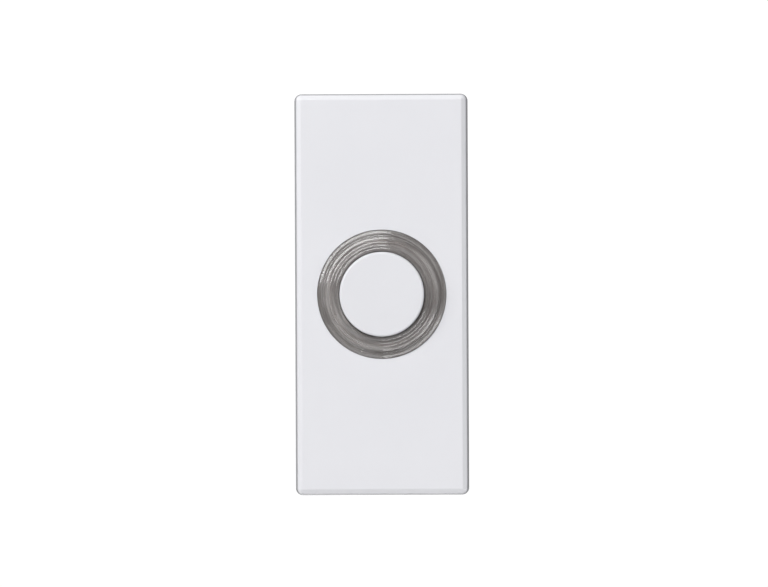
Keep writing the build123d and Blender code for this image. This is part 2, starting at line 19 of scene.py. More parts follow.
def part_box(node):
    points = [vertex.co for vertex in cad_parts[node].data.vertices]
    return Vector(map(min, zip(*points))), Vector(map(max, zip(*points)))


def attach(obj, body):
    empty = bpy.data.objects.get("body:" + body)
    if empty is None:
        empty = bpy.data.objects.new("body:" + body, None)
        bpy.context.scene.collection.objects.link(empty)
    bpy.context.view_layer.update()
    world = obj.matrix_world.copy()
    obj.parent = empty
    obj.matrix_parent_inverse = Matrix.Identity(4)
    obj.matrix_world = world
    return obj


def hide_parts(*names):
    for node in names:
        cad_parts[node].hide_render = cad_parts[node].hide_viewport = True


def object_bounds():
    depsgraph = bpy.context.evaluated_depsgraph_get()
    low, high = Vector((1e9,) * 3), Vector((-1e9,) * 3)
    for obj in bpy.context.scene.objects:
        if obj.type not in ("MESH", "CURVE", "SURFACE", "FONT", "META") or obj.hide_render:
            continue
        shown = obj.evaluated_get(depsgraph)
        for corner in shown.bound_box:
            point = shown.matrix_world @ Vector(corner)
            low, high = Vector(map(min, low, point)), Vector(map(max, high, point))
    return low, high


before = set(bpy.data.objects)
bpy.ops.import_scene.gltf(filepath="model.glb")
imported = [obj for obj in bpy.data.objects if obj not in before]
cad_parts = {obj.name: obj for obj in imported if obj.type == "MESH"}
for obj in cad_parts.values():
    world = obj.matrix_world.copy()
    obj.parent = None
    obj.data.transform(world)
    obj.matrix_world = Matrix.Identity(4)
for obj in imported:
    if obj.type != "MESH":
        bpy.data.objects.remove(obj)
CAD_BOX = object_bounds()

log = logging.getLogger("bell_push")
MM = 0.001
WELD = 1e-7  # points closer than this are one
NOISE_LOW, NOISE_HIGH = 0.3, 0.7  # where most of a noise's values lie

Colour = tuple[float, float, float]
Point = tuple[float, float, float]


class Body(Enum):
    """The bodies that new pieces ride on."""

    BASE = "base"
    COVER = "cover"


class Slot(Enum):
    """The names of material slots for new pieces."""

    WHITE = "white_plastic"
    BASE = "base_plastic"
    CLEAR = "clear_plastic"
    SPRING = "spring_steel"
    ZINC = "zinc_steel"
    TUNGSTEN = "tungsten"


class Grain(Enum):
    """The direction that a rolled or drawn metal's streaks run in, as its noise's scale per millimetre."""

    UP = (9.0, 9.0, 0.4)
    ACROSS = (0.4, 9.0, 9.0)
    EVEN = (4.0, 4.0, 4.0)


# ---------------------------------------------------------------- material graphs


class Graph:
    """The node tree of one material, with short calls for the nodes that the finishes share."""

    def __init__(self, name: str) -> None:
        """Makes an empty material.

        Args:
            name: The material's name.
        """
        self.material = bpy.data.materials.new(name)
        self.material.use_nodes = True
        self.tree = self.material.node_tree
        self.tree.nodes.clear()
        self.output = self.tree.nodes.new("ShaderNodeOutputMaterial")

    def node(self, kind: str, **settings: object) -> bpy.types.Node:
        """Adds a node.

        Args:
            kind: The node's type name.
            **settings: Properties to set on it.

        Returns:
            The new node.
        """
        made = self.tree.nodes.new(kind)
        for key, value in settings.items():
            setattr(made, key, value)
        return made

    def link(self, source: bpy.types.NodeSocket, target: bpy.types.NodeSocket) -> None:
        """Joins two sockets."""
        self.tree.links.new(source, target)

    def place(self, scale: Point = (1.0, 1.0, 1.0)) -> bpy.types.NodeSocket:
        """Object coordinates in millimetres, stretched by a scale.

        Args:
            scale: How many pattern units go into a millimetre along X, Y and Z.

        Returns:
            The vector socket.
        """
        coordinates = self.node("ShaderNodeTexCoord")
        mapping = self.node("ShaderNodeMapping")
        mapping.inputs["Scale"].default_value = [1000.0 * s for s in scale]
        self.link(coordinates.outputs["Object"], mapping.inputs["Vector"])
        return mapping.outputs["Vector"]

    def noise(
        self, scale: Point, size: float = 1.0, detail: float = 3.0, rough: float = 0.5
    ) -> bpy.types.NodeSocket:
        """Noise on object coordinates.

        Args:
            scale: Stretch along X, Y and Z, per millimetre.
            size: The noise's own scale.
            detail: How many finer layers it has.
            rough: How strong those are.

        Returns:
            The factor socket, about 0.3 to 0.7.
        """
        made = self.node("ShaderNodeTexNoise")
        made.inputs["Scale"].default_value = size
        made.inputs["Detail"].default_value = detail
        made.inputs["Roughness"].default_value = rough
        self.link(self.place(scale), made.inputs["Vector"])
        return made.outputs["Fac"]

    def span(
        self, value: bpy.types.NodeSocket, low: float, high: float, start: float = NOISE_LOW, end: float = NOISE_HIGH
    ) -> bpy.types.NodeSocket:
        """Maps a value from one range to another.

        Args:
            value: The socket to map.
            low: The result at start.
            high: The result at end.
            start: The value that gives low.
            end: The value that gives high.

        Returns:
            The mapped socket.
        """
        made = self.node("ShaderNodeMapRange")
        self.link(value, made.inputs["Value"])
        made.inputs["From Min"].default_value = start
        made.inputs["From Max"].default_value = end
        made.inputs["To Min"].default_value = low
        made.inputs["To Max"].default_value = high
        return made.outputs["Result"]

    def tint(self, factor: bpy.types.NodeSocket, first: Colour, second: Colour) -> bpy.types.NodeSocket:
        """Blends two colours.

        Args:
            factor: 0 for the first colour, 1 for the second.
            first: The first colour.
            second: The second colour.

        Returns:
            The colour socket.
        """
        made = self.node("ShaderNodeValToRGB")
        made.color_ramp.elements[0].position = NOISE_LOW
        made.color_ramp.elements[1].position = NOISE_HIGH
        made.color_ramp.elements[0].color = (*first, 1.0)
        made.color_ramp.elements[1].color = (*second, 1.0)
        self.link(factor, made.inputs["Fac"])
        return made.outputs["Color"]

    def bump(
        self, height: bpy.types.NodeSocket, depth: float, under: bpy.types.NodeSocket | None = None
    ) -> bpy.types.NodeSocket:
        """Turns a height into a shading normal.

        Args:
            height: The height's socket, 0 to 1.
            depth: What a height of 1 stands for, in millimetres.
            under: A coarser normal that this one adds to.

        Returns:
            The normal socket.
        """
        made = self.node("ShaderNodeBump")
        made.inputs["Strength"].default_value = 1.0
        made.inputs["Distance"].default_value = depth * MM
        self.link(height, made.inputs["Height"])
        if under is not None:
            self.link(under, made.inputs["Normal"])
        return made.outputs["Normal"]

    def surface(
        self,
        colour: bpy.types.NodeSocket | Colour,
        rough: bpy.types.NodeSocket | float,
        normal: bpy.types.NodeSocket | None = None,
        **constants: float,
    ) -> bpy.types.Material:
        """Ends the tree in a surface shader.

        Args:
            colour: The base colour, as a socket or as numbers.
            rough: The roughness, as a socket or a number.
            normal: The shading normal, if any.
            **constants: Other sockets' values, with underscores for the spaces in their names.

        Returns:
            The finished material.
        """
        shader = self.node("ShaderNodeBsdfPrincipled")
        if isinstance(colour, tuple):
            shader.inputs["Base Color"].default_value = (*colour, 1.0)
        else:
            self.link(colour, shader.inputs["Base Color"])
        if isinstance(rough, float):
            shader.inputs["Roughness"].default_value = rough
        else:
            self.link(rough, shader.inputs["Roughness"])
        if normal is not None:
            self.link(normal, shader.inputs["Normal"])
        for key, value in constants.items():
            shader.inputs[key.replace("_", " ")].default_value = value
        self.link(shader.outputs["BSDF"], self.output.inputs["Surface"])
        return self.material


@dataclass(frozen=True)
class GlossPlastic:
    """Polished moulded plastic: a faint ripple, and gloss that varies a little with handling."""

    name: str
    colour: Colour
    shade: Colour
    gloss: float = 0.24
    ripple: float = 0.004
    peel: float = 0.0012

    def material(self) -> bpy.types.Material:
        """Builds the finish.

        Returns:
            The material.
        """
        g = Graph(self.name)
        broad = g.noise((0.05, 0.05, 0.05), detail=2.0)
        wear = g.noise((0.22, 0.22, 0.16), detail=5.0, rough=0.62)
        flow = g.bump(g.noise((0.3, 0.3, 0.22), detail=1.0), self.ripple * 4)
        skin = g.bump(g.noise((2.2, 2.2, 2.2), detail=3.0, rough=0.6), self.peel, flow)
        return g.surface(
            g.tint(broad, self.shade, self.colour),
            g.span(wear, self.gloss - 0.015, self.gloss + 0.025),
            skin,
            IOR=1.5,
            Specular_IOR_Level=0.5,
        )


@dataclass(frozen=True)
class MattPlastic:
    """Moulded plastic from a spark-textured tool: an even fine grain over slow colour changes."""

    name: str
    colour: Colour
    shade: Colour
    rough: float = 0.58
    grain: float = 0.02
    pitch: float = 3.2

    def material(self) -> bpy.types.Material:
        """Builds the finish.

        Returns:
            The material.
        """
        g = Graph(self.name)
        cells = g.node("ShaderNodeTexVoronoi", feature="SMOOTH_F1")
        cells.inputs["Scale"].default_value = self.pitch
        cells.inputs["Smoothness"].default_value = 0.6
        g.link(g.place(), cells.inputs["Vector"])
        slow = g.noise((0.12, 0.12, 0.07), detail=4.0, rough=0.6)
        coarse = g.bump(cells.outputs["Distance"], self.grain)
        fine = g.bump(g.noise((9.0, 9.0, 9.0), detail=2.0), self.grain * 0.4, coarse)
        return g.surface(
            g.tint(slow, self.shade, self.colour),
            g.span(slow, self.rough - 0.07, self.rough + 0.09),
            fine,
            IOR=1.49,
        )


@dataclass(frozen=True)
class ClearPlastic:
    """Clear moulded plastic from a turned tool: fine round streaks, with a little haze in them."""

    name: str
    tint: Colour
    haze: Colour
    rough: float = 0.06
    streaks: float = 1.7
    drift: float = 1.3
    depth: float = 0.022
    clear: float = 0.74

    def material(self) -> bpy.types.Material:
        """Builds the finish.

        Returns:
            The material.
        """
        g = Graph(self.name)
        flat = g.place((1.0, 0.0, 1.0))
        length = g.node("ShaderNodeVectorMath", operation="LENGTH")
        way = g.node("ShaderNodeVectorMath", operation="NORMALIZE")
        g.link(flat, length.inputs[0])
        g.link(flat, way.inputs[0])
        spread = g.node("ShaderNodeVectorMath", operation="SCALE")
        spread.inputs["Scale"].default_value = self.drift
        g.link(way.outputs[0], spread.inputs[0])
        radius = g.node("ShaderNodeMath", operation="MULTIPLY")
        radius.inputs[1].default_value = self.streaks
        g.link(length.outputs["Value"], radius.inputs[0])
        lift = g.node("ShaderNodeCombineXYZ")
        g.link(radius.outputs[0], lift.inputs["Y"])
        swirl = g.node("ShaderNodeVectorMath", operation="ADD")
        g.link(spread.outputs[0], swirl.inputs[0])
        g.link(lift.outputs[0], swirl.inputs[1])
        streak = g.node("ShaderNodeTexNoise")
        streak.inputs["Scale"].default_value = 1.0
        streak.inputs["Detail"].default_value = 3.0
        streak.inputs["Roughness"].default_value = 0.6
        g.link(swirl.outputs[0], streak.inputs["Vector"])
        return g.surface(
            g.tint(g.span(streak.outputs["Fac"], 0.3, 0.7, 0.4, 0.6), self.haze, self.tint),
            g.span(streak.outputs["Fac"], self.rough, self.rough + 0.06),
            g.bump(streak.outputs["Fac"], self.depth),
            IOR=1.57,
            Transmission_Weight=self.clear,
        )


@dataclass(frozen=True)
class RolledMetal:
    """Rolled or plated metal: fine streaks along the strip and a slow tarnish."""

    name: str
    colour: Colour
    tarnish: Colour
    rough: float = 0.28
    grain: Grain = Grain.UP
    streak: float = 0.0022
    patches: float = 0.35

    def material(self) -> bpy.types.Material:
        """Builds the finish.

        Returns:
            The material.
        """
        g = Graph(self.name)
        lines = g.noise(self.grain.value, detail=3.0, rough=0.7)
        slow = g.noise((self.patches,) * 3, detail=5.0, rough=0.62)
        return g.surface(
            g.tint(slow, self.tarnish, self.colour),
            g.span(lines, self.rough - 0.07, self.rough + 0.12),
            g.bump(lines, self.streak),
            Metallic=1.0,
        )


@dataclass(frozen=True)
class BlownGlass:
    """Thin blown glass with faint draw lines."""

    name: str
    colour: Colour = (0.97, 0.98, 0.98)
    shade: float = 0.96

    def material(self) -> bpy.types.Material:
        """Builds the finish.

        Returns:
            The material.
        """
        g = Graph(self.name)
        draw = g.noise((1.4, 1.4, 0.25), detail=2.0)
        return g.surface(
            g.tint(draw, tuple(c * self.shade for c in self.colour), self.colour),
            g.span(draw, 0.02, 0.05),
            g.bump(draw, 0.01),
            IOR=1.5,
            Transmission_Weight=1.0,
        )


@dataclass
class Finishes:
    """Every finish on the push, each made once."""

    cover_white: GlossPlastic = GlossPlastic("cover_white", (0.835, 0.835, 0.865), (0.82, 0.82, 0.852))
    cap_white: GlossPlastic = GlossPlastic("cap_white", (0.815, 0.815, 0.845), (0.8, 0.8, 0.83), gloss=0.3)
    ring_clear: ClearPlastic = ClearPlastic("ring_clear", (0.96, 0.925, 0.905), (0.62, 0.575, 0.555))
    base_grey: MattPlastic = MattPlastic("base_grey", (0.7, 0.695, 0.685), (0.66, 0.655, 0.645))
    plunger_grey: MattPlastic = MattPlastic("plunger_grey", (0.42, 0.4, 0.385), (0.36, 0.345, 0.335), 0.42, 0.01)
    holder_dark: MattPlastic = MattPlastic("holder_dark", (0.09, 0.088, 0.085), (0.065, 0.064, 0.062), 0.5, 0.012)
    tinned: RolledMetal = RolledMetal("tinned_brass", (0.5, 0.48, 0.45), (0.4, 0.37, 0.32), 0.34)
    brass_turned: RolledMetal = RolledMetal("turned_brass", (0.76, 0.57, 0.27), (0.6, 0.42, 0.19), 0.24, Grain.EVEN)
    bronze: RolledMetal = RolledMetal("spring_bronze", (0.78, 0.5, 0.32), (0.6, 0.36, 0.22), 0.26, Grain.ACROSS)
    silver: RolledMetal = RolledMetal("contact_silver", (0.88, 0.87, 0.84), (0.68, 0.66, 0.62), 0.22, Grain.EVEN)
    zinc: RolledMetal = RolledMetal("plated_zinc", (0.7, 0.71, 0.73), (0.55, 0.56, 0.58), 0.3, Grain.EVEN)
    spring: RolledMetal = RolledMetal("spring_wire", (0.62, 0.62, 0.64), (0.45, 0.45, 0.47), 0.24, Grain.EVEN)
    tungsten: RolledMetal = RolledMetal("tungsten_wire", (0.36, 0.36, 0.38), (0.25, 0.25, 0.27), 0.4, Grain.EVEN)
    glass: BlownGlass = BlownGlass("lamp_glass")
    made: dict[str, bpy.types.Material] = field(default_factory=dict)

    def of(self, name: str) -> bpy.types.Material:
        """A finish's material, made on first use.

        Args:
            name: The field that holds the finish.

        Returns:
            The material.
        """
        if name not in self.made:
            self.made[name] = getattr(self, name).material()
        return self.made[name]

    def dress(self, finish: str, *nodes: str) -> None:
        """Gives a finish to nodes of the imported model.

        Args:
            finish: The field that holds the finish.
            *nodes: The nodes' names.
        """
        for node in nodes:
            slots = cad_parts[node].data.materials
            for place in range(len(slots)):
                slots[place] = self.of(finish)
            log.info("dressed %s in %s", node, finish)


# ---------------------------------------------------------------- pieces


def settle(piece: bpy.types.Object, body: Body) -> None:
    """Fixes a finished piece to its body.

    Args:
        piece: The piece, already in place.
        body: The body it moves with.
    """
    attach(piece, body.value)
    log.info("made %s on %s with %d faces", piece.name, body.value, len(piece.data.polygons))


def finished(name: str, mesh: bpy.types.Mesh, sharp: float = 32.0) -> bpy.types.Object:
    """Closes off a mesh that a script has filled, and puts it in the scene.

    Args:
        name: The object's name.
        mesh: The filled mesh.
        sharp: The angle past which an edge stays sharp, in degrees.

    Returns:
        The object, at the origin.
    """
    shape = bmesh.new()
    shape.from_mesh(mesh)
    bmesh.ops.remove_doubles(shape, verts=shape.verts, dist=WELD)
    bmesh.ops.recalc_face_normals(shape, faces=shape.faces)
    shape.to_mesh(mesh)
    shape.free()
    mesh.polygons.foreach_set("use_smooth", [True] * len(mesh.polygons))
    mesh.set_sharp_from_angle(angle=math.radians(sharp))
    made = bpy.data.objects.new(name, mesh)
    bpy.context.scene.collection.objects.link(made)
    return made


def joined(name: str, parts: Sequence[bpy.types.Object]) -> bpy.types.Object:
    """Joins separate closed solids into one piece.

    Args:
        name: The piece's name.
        parts: The objects to join, which are used up.

    Returns:
        The piece, at the origin.
    """
    shape = bmesh.new()
    finish = parts[0].data.materials[0]
    for part in parts:
        shape.from_mesh(part.data)
        bpy.data.objects.remove(part)
    mesh = bpy.data.meshes.new(name)
    shape.to_mesh(mesh)
    shape.free()
    mesh.materials.append(finish)
    return finished(name, mesh, sharp=40.0)


def new_tree(name: str, inputs: dict[str, str]) -> bpy.types.NodeTree:
    """Starts a Geometry Nodes tree that takes and gives a geometry.

    Args:
        name: The tree's name.
        inputs: The further inputs' names, each with its kind of socket.

    Returns:
        The tree, with its sockets and no nodes.
    """
    tree = bpy.data.node_groups.new(name, "GeometryNodeTree")
    tree.interface.new_socket("Geometry", in_out="OUTPUT", socket_type="NodeSocketGeometry")
    for label, kind in {"Geometry": "Geometry", **inputs}.items():
        tree.interface.new_socket(label, in_out="INPUT", socket_type="NodeSocket" + kind)
    return tree


def grown(
    name: str, tree: bpy.types.NodeTree, values: dict[str, object], points: Sequence[Point] = ()
) -> bpy.types.Mesh:
    """Runs a Geometry Nodes tree and takes what it makes as a plain mesh.

    Args:
        name: The mesh's name.
        tree: The tree.
        values: Its inputs by name.
        points: The points that it starts from.

    Returns:
        The mesh.
    """
    seed = bpy.data.meshes.new(name + "_seed")
    seed.from_pydata(list(points), [], [])
    blank = bpy.data.objects.new(name + "_seed", seed)
    bpy.context.scene.collection.objects.link(blank)
    modifier = blank.modifiers.new("grow", "NODES")
    modifier.node_group = tree
    for item in tree.interface.items_tree:
        if item.in_out == "INPUT" and item.name in values:
            modifier[item.identifier] = values[item.name]
    shown = blank.evaluated_get(bpy.context.evaluated_depsgraph_get())
    mesh = bpy.data.meshes.new_from_object(shown)
    bpy.data.objects.remove(blank)
    mesh.name = name
    return mesh


class Coil:
    """A wire wound along an axis, as a Geometry Nodes tree with its sizes as inputs."""

    NAME = "wound_wire"

    @classmethod
    def tree(cls) -> bpy.types.NodeTree:
        """The coil's tree, made on first use.

        Returns:
            The node group, with inputs for radius, height, turns, wire, sides and material.
        """
        if cls.NAME in bpy.data.node_groups:
            return bpy.data.node_groups[cls.NAME]
        tree = new_tree(cls.NAME, {
            "Radius": "Float",
            "Height": "Float",
            "Turns": "Float",
            "Wire Radius": "Float",
            "Steps": "Int",
            "Sides": "Int",
            "Finish": "Material",
        })
        add = tree.nodes.new
        given, result = add("NodeGroupInput"), add("NodeGroupOutput")
        spiral, circle = add("GeometryNodeCurveSpiral"), add("GeometryNodeCurvePrimitiveCircle")
        sweep, smooth = add("GeometryNodeCurveToMesh"), add("GeometryNodeSetShadeSmooth")
        realise, finish = add("GeometryNodeRealizeInstances"), add("GeometryNodeSetMaterial")
        sweep.inputs["Fill Caps"].default_value = True
        for source, target in (
            (given.outputs["Steps"], spiral.inputs["Resolution"]),
            (given.outputs["Turns"], spiral.inputs["Rotations"]),
            (given.outputs["Radius"], spiral.inputs["Start Radius"]),
            (given.outputs["Radius"], spiral.inputs["End Radius"]),
            (given.outputs["Height"], spiral.inputs["Height"]),
            (given.outputs["Sides"], circle.inputs["Resolution"]),
            (given.outputs["Wire Radius"], circle.inputs["Radius"]),
            (spiral.outputs["Curve"], sweep.inputs["Curve"]),
            (circle.outputs["Curve"], sweep.inputs["Profile Curve"]),
            (sweep.outputs["Mesh"], smooth.inputs["Geometry"]),
            (smooth.outputs["Geometry"], realise.inputs["Geometry"]),
            (realise.outputs["Geometry"], finish.inputs["Geometry"]),
            (given.outputs["Finish"], finish.inputs["Material"]),
            (finish.outputs["Geometry"], result.inputs["Geometry"]),
        ):
            tree.links.new(source, target)
        return tree

    def __init__(self, name: str, radius: float, height: float, turns: float, wire: float) -> None:
        """Sets out a coil of one radius.

        Args:
            name: The name of the piece.
            radius: To the middle of the wire.
            height: Between the middles of the end turns.
            turns: How many turns.
            wire: The wire's radius.
        """
        self.name = name
        self.sizes = {"Radius": radius, "Height": height, "Turns": turns, "Wire Radius": wire}

    def build(
        self, material: bpy.types.Material, origin: Point, along: Point, steps: int = 32, sides: int = 12
    ) -> bpy.types.Object:
        """Winds the coil and turns it into a plain mesh.

        Args:
            material: The finish.
            origin: The start of its axis.
            along: The direction of its axis.
            steps: Points in each turn.
            sides: Faces round the wire.

        Returns:
            The finished object, at the origin, with its place in its mesh.
        """
        values = {**self.sizes, "Steps": steps, "Sides": sides, "Finish": material}
        mesh = grown(self.name, self.tree(), values)
        turn = Vector((0, 0, 1)).rotation_difference(Vector(along)).to_matrix().to_4x4()
        mesh.transform(turn)
        mesh.transform(Matrix.Translation(origin))
        made = bpy.data.objects.new(self.name, mesh)
        bpy.context.scene.collection.objects.link(made)
        return made


@dataclass(frozen=True)
class Studs:
    """Low round studs on points, as a Geometry Nodes tree with its sizes as inputs.

    The sizes are in metres: the foot's and top's radii, the height above the face and the depth sunk in it.
    """

    foot: float
    top: float
    height: float
    sink: float
    sides: int = 24

    NAME = "low_studs"

    @classmethod
    def tree(cls) -> bpy.types.NodeTree:
        """The studs' tree, made on first use.

        Returns:
            The node group, with inputs for both radii, height, sides, turn and material.
        """
        if cls.NAME in bpy.data.node_groups:
            return bpy.data.node_groups[cls.NAME]
        tree = new_tree(cls.NAME, {
            "Foot Radius": "Float",
            "Top Radius": "Float",
            "Height": "Float",
            "Sides": "Int",
            "Turn": "Vector",
            "Finish": "Material",
        })
        add = tree.nodes.new
        given, result = add("NodeGroupInput"), add("NodeGroupOutput")
        cone, spread = add("GeometryNodeMeshCone"), add("GeometryNodeInstanceOnPoints")
        realise, finish = add("GeometryNodeRealizeInstances"), add("GeometryNodeSetMaterial")
        for source, target in (
            (given.outputs["Sides"], cone.inputs["Vertices"]),
            (given.outputs["Top Radius"], cone.inputs["Radius Top"]),
            (given.outputs["Foot Radius"], cone.inputs["Radius Bottom"]),
            (given.outputs["Height"], cone.inputs["Depth"]),
            (given.outputs["Geometry"], spread.inputs["Points"]),
            (cone.outputs["Mesh"], spread.inputs["Instance"]),
            (given.outputs["Turn"], spread.inputs["Rotation"]),
            (spread.outputs["Instances"], realise.inputs["Geometry"]),
            (realise.outputs["Geometry"], finish.inputs["Geometry"]),
            (given.outputs["Finish"], finish.inputs["Material"]),
            (finish.outputs["Geometry"], result.inputs["Geometry"]),
        ):
            tree.links.new(source, target)
        return tree

    def build(
        self, name: str, material: bpy.types.Material, places: Sequence[Point], outward: bool
    ) -> bpy.types.Object:
        """Sets the studs on a face that is parallel to the wall.

        Args:
            name: The piece's name.
            material: The finish.
            places: Where each stands on the face.
            outward: Whether they stand out towards the front, or back towards the wall.

        Returns:
            The piece, as one plain mesh.
        """
        way = -1.0 if outward else 1.0
        sunk = [(x, y - way * self.sink, z) for x, y, z in places]
        values = {
            "Foot Radius": self.foot,
            "Top Radius": self.top,
            "Height": self.height + self.sink,
            "Sides": self.sides,
            "Turn": (-way * math.pi / 2, 0.0, 0.0),
            "Finish": material,
        }
        return finished(name, grown(name, self.tree(), values, sunk))


@dataclass
class Housing:
    """The front cover and the base plate, with the marks that ejector pins leave inside each."""

    finishes: Finishes
    pins: Studs = Studs(foot=1.6 * MM, top=1.54 * MM, height=0.05 * MM, sink=0.1 * MM, sides=40)
    front_wall: float = 1.8 * MM
    floor: float = 2.2 * MM
    across: float = 12.6 * MM
    rows: tuple[float, ...] = (-34.8 * MM, -22.0 * MM, 22.0 * MM, 34.8 * MM)

    def build(self) -> None:
        """Dresses the two shells and adds the pins' marks."""
        self.finishes.dress("cover_white", "front_cover")
        self.finishes.dress("base_grey", "base_plate")
        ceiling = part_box("front_cover")[0].y + self.front_wall
        inside = [(side * self.across, ceiling, row) for row in self.rows for side in (-1, 1)]
        marks = self.pins.build("cover_pin_marks", self.finishes.of("cover_white"), inside, outward=False)
        settle(marks, Body.COVER)
        ends = [(side * self.across, -self.floor, row) for row in self.rows[::3] for side in (-1, 1)]
        marks = self.pins.build("base_pin_marks", self.finishes.of("base_grey"), ends, outward=True)
        settle(marks, Body.BASE)


@dataclass(frozen=True)
class RingSection:
    """The clear ring's half section, in millimetres: radii from its axis, and heights above the wall."""

    bore: float
    edge: float
    flange: float
    top: float
    step_inset: float = 1.4
    step: float = 1.0
    rim_width: float = 0.6
    rim_drop: float = 0.2
    seat: float = 3.2
    flange_wall: float = 1.2
    guide_wall: float = 1.23
    tube_wall: float = 1.8
    web: float = 1.9
    guide_drop: float = 6.4
    tube_drop: float = 7.5
    crisp: float = 0.07
    facet_width: float = 0.42
    facet_slope: float = 0.46
    rear_grooves: int = 3
    rear_groove_depth: float = 0.22
    rear_groove_reach: float = 1 / 2.2
    rear_groove_margin: float = 0.25
    front_lines: int = 3
    front_line_width: float = 0.2
    front_line_rise: float = 0.1
    lip_line_width: float = 0.12
    barb: float = 1.2
    barb_front: float = 5.85
    barb_rear: float = 5.05
    slot_depth: float = 1.55
    notch_depth: float = 0.11

    def corner(self, before: Vector, at: Vector, after: Vector, radius: float, steps: int = 6) -> list[Vector]:
        """Rounds one corner of the section, with a point just outside each end that keeps the flats flat.

        Args:
            before: The point before the corner.
            at: The corner.
            after: The point after it.
            radius: The rounding's radius.
            steps: How many faces make the rounding.

        Returns:
            The points that stand for the corner.
        """
        back, ahead = (before - at).normalized(), (after - at).normalized()
        half = back.angle(ahead) / 2
        reach = radius / math.tan(half)
        centre = at + (back + ahead).normalized() * (radius / math.sin(half))
        first, last = at + back * reach - centre, at + ahead * reach - centre
        turns = [first.slerp(last, step / steps).normalized() for step in range(steps + 1)]
        arc = [centre + turn * radius for turn in turns]
        return [arc[0] + back * radius / 8, *arc, arc[-1] + ahead * radius / 8]

    def front(self, notch: float) -> list[Vector]:
        """The points from the bore's rear, over the front, to the tube's outside above its rear end.

        Args:
            notch: How deep a notch is here, as a share of its full depth.

        Returns:
            Radius and height pairs, as many whatever the argument.
        """
        step_edge = self.edge - self.step_inset
        lip = self.top - self.step - self.notch_depth * notch
        drop = self.facet_width * self.facet_slope + self.notch_depth * notch
        terrace = self.top - self.front_lines * self.line_drop()
        corners = [
            ((self.bore, self.top - self.guide_drop), self.crisp),
            ((self.bore, self.top), self.crisp),
            ((step_edge - self.facet_width, terrace), self.crisp),
            ((step_edge, terrace - drop), self.crisp),
            ((step_edge, lip), self.crisp),
            ((self.edge - self.rim_width, lip), self.crisp),
            ((self.edge - self.rim_width + self.rim_drop / self.facet_slope, lip - self.rim_drop), self.crisp / 4),
            ((self.edge, lip - self.rim_drop), self.crisp),
            ((self.edge, self.top - self.seat), self.crisp),
            ((self.flange, self.top - self.seat), self.crisp),
            ((self.flange, self.top - self.seat - self.flange_wall), self.crisp),
            ((self.edge, self.top - self.seat - self.flange_wall), self.crisp),
        ]
        added = {
            (self.bore, self.top): self.lines(self.bore, step_edge - self.facet_width),
            (step_edge, lip): self.lip_line((step_edge + self.edge - self.rim_width) / 2, lip),
        }
        points = [Vector(place) for place, _ in corners]
        before = [Vector((self.bore + self.guide_wall, points[0].y)), *points[:-1]]
        after = [*points[1:], Vector((self.edge, self.top - self.tube_drop))]
        section: list[Vector] = []
        for index, (place, radius) in enumerate(corners):
            section += self.corner(before[index], points[index], after[index], radius)
            section += added.get(place, [])
        return section

    def line_drop(self) -> float:
        """How much lower the web's front is beyond each line."""
        return (self.front_line_width - self.front_line_rise) * self.facet_slope

    def lip_line(self, middle: float, lip: float) -> list[Vector]:
        """One shallow turned line in the lip.

        Args:
            middle: The radius of its bottom.
            lip: The lip's height.

        Returns:
            Its three points.
        """
        width = self.lip_line_width
        bottom = Vector((middle, lip - width * self.facet_slope))
        return [Vector((middle - width, lip)), bottom, Vector((middle + width, lip))]

    def lines(self, start: float, end: float) -> list[Vector]:
        """Shallow turned lines that also step the front of the web down towards its edge.

        Args:
            start: The radius where they begin.
            end: The radius where they end.

        Returns:
            The points of the lines, three for each.
        """
        pitch = (end - start) / (self.front_lines + 1)
        made = []
        for line in range(self.front_lines):
            near = start + pitch * (line + 1) - self.front_line_width / 2
            foot = near + self.front_line_width
            height = self.top - self.line_drop() * line
            made.append(Vector((near, height)))
            made.append(Vector((foot, height - self.front_line_width * self.facet_slope)))
            made.append(Vector((foot + self.front_line_rise, height - self.line_drop())))
        return made

    def rear(self, rear_end: float, hook: int) -> list[Vector]:
        """The points from the tube's rear end, under the web, to the guide tube's rear.

        Args:
            rear_end: The height of the tube's rear end.
            hook: 0 for a plain end, 1 for a hook's post alone, 2 for the post with its barb.

        Returns:
            Radius and height pairs, as many whatever the arguments.
        """
        inner = self.edge - self.tube_wall
        guide = self.bore + self.guide_wall
        under = self.top - self.web
        tip = inner - self.barb * (hook - 1)
        if hook:
            end = [
                (self.edge, self.barb_rear),
                (inner, self.barb_rear),
                (tip, (self.barb_rear + self.barb_front) / 2),
                (tip, self.barb_front),
                (inner, self.barb_front),
            ]
        else:
            end = [(self.edge, rear_end), *[(inner, rear_end)] * 4]
        end.append((inner, under))
        pitch = (inner - guide) / (self.rear_grooves + 2 * self.rear_groove_margin)
        reach = pitch * self.rear_groove_reach
        for groove in reversed(range(self.rear_grooves)):
            middle = guide + pitch * (self.rear_groove_margin + groove + 1 / 2)
            end += [(middle + reach, under), (middle, under + self.rear_groove_depth), (middle - reach, under)]
        end += [(guide, under), (guide, self.top - self.guide_drop)]
        return [Vector(place) for place in end]


